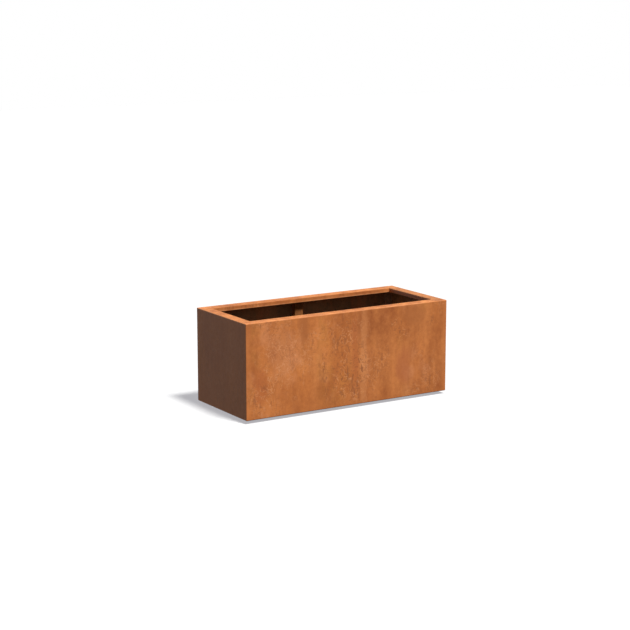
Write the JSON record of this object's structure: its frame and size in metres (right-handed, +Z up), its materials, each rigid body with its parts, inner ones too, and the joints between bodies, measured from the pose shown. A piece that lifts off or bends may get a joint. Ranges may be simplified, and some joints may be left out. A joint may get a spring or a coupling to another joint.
{
  "type": "planter box",
  "caption": "Rectangular weathering-steel planter box with a folded rim, ribbed long walls, a raised drained floor and hidden screw levelling feet.",
  "frame": {"origin": "on the ground under the middle of the box", "axes": "+X along the length towards the right end, +Y from the front to the back, +Z up"},
  "size_m": [1.2, 0.5, 0.5],
  "materials": {
    "weathered_panel": "matte",
    "weathered_inner": "matte",
    "plain_steel": "satin",
    "zinc_plated_steel": "satin",
    "black_polyamide": "satin",
    "black_rubber": "matte"
  },
  "bodies": {
    "planter": {"front_panel": "weathered_panel", "back_panel": "weathered_panel", "left_end_panel": "weathered_panel", "right_end_panel": "weathered_panel", "floor_panel": "weathered_inner", "front_rib": "weathered_inner", "back_rib": "weathered_inner", "left_bearer": "weathered_inner", "middle_bearer": "weathered_inner", "right_bearer": "weathered_inner", "front_left_foot_plate": "weathered_inner", "front_left_weld_nut": "plain_steel", "front_left_lock_nut": "zinc_plated_steel", "front_right_foot_plate": "weathered_inner", "front_right_weld_nut": "plain_steel", "front_right_lock_nut": "zinc_plated_steel", "back_left_foot_plate": "weathered_inner", "back_left_weld_nut": "plain_steel", "back_left_lock_nut": "zinc_plated_steel", "back_right_foot_plate": "weathered_inner", "back_right_weld_nut": "plain_steel", "back_right_lock_nut": "zinc_plated_steel"},
    "front_left_foot": {"front_left_foot_pad": "black_polyamide", "front_left_foot_sole": "black_rubber"},
    "front_left_stud": {"front_left_foot_stud": "zinc_plated_steel"},
    "front_right_foot": {"front_right_foot_pad": "black_polyamide", "front_right_foot_sole": "black_rubber"},
    "front_right_stud": {"front_right_foot_stud": "zinc_plated_steel"},
    "back_left_foot": {"back_left_foot_pad": "black_polyamide", "back_left_foot_sole": "black_rubber"},
    "back_left_stud": {"back_left_foot_stud": "zinc_plated_steel"},
    "back_right_foot": {"back_right_foot_pad": "black_polyamide", "back_right_foot_sole": "black_rubber"},
    "back_right_stud": {"back_right_foot_stud": "zinc_plated_steel"}
  },
  "joints": [
    {"name": "front_left_foot_travel", "type": "slide", "parent": "planter", "child": "front_left_foot", "axis": [0, 0, -1], "range_m": [0, 0.02]},
    {"name": "front_left_stud_turn", "type": "hinge", "parent": "front_left_foot", "child": "front_left_stud", "pos_m": [-0.47, -0.15, 0.03], "axis": [0, 0, -1], "range_deg": [0, 4114.3]},
    {"name": "front_right_foot_travel", "type": "slide", "parent": "planter", "child": "front_right_foot", "axis": [0, 0, -1], "range_m": [0, 0.02]},
    {"name": "front_right_stud_turn", "type": "hinge", "parent": "front_right_foot", "child": "front_right_stud", "pos_m": [0.47, -0.15, 0.03], "axis": [0, 0, -1], "range_deg": [0, 4114.3]},
    {"name": "back_left_foot_travel", "type": "slide", "parent": "planter", "child": "back_left_foot", "axis": [0, 0, -1], "range_m": [0, 0.02]},
    {"name": "back_left_stud_turn", "type": "hinge", "parent": "back_left_foot", "child": "back_left_stud", "pos_m": [-0.47, 0.15, 0.03], "axis": [0, 0, -1], "range_deg": [0, 4114.3]},
    {"name": "back_right_foot_travel", "type": "slide", "parent": "planter", "child": "back_right_foot", "axis": [0, 0, -1], "range_m": [0, 0.02]},
    {"name": "back_right_stud_turn", "type": "hinge", "parent": "back_right_foot", "child": "back_right_stud", "pos_m": [0.47, 0.15, 0.03], "axis": [0, 0, -1], "range_deg": [0, 4114.3]}
  ],
  "couplings": [
    {"joint": "front_left_stud_turn", "follows": "front_left_foot_travel", "rad_per_m": 3590.4},
    {"joint": "front_right_stud_turn", "follows": "front_right_foot_travel", "rad_per_m": 3590.4},
    {"joint": "back_left_stud_turn", "follows": "back_left_foot_travel", "rad_per_m": 3590.4},
    {"joint": "back_right_stud_turn", "follows": "back_right_foot_travel", "rad_per_m": 3590.4}
  ]
}
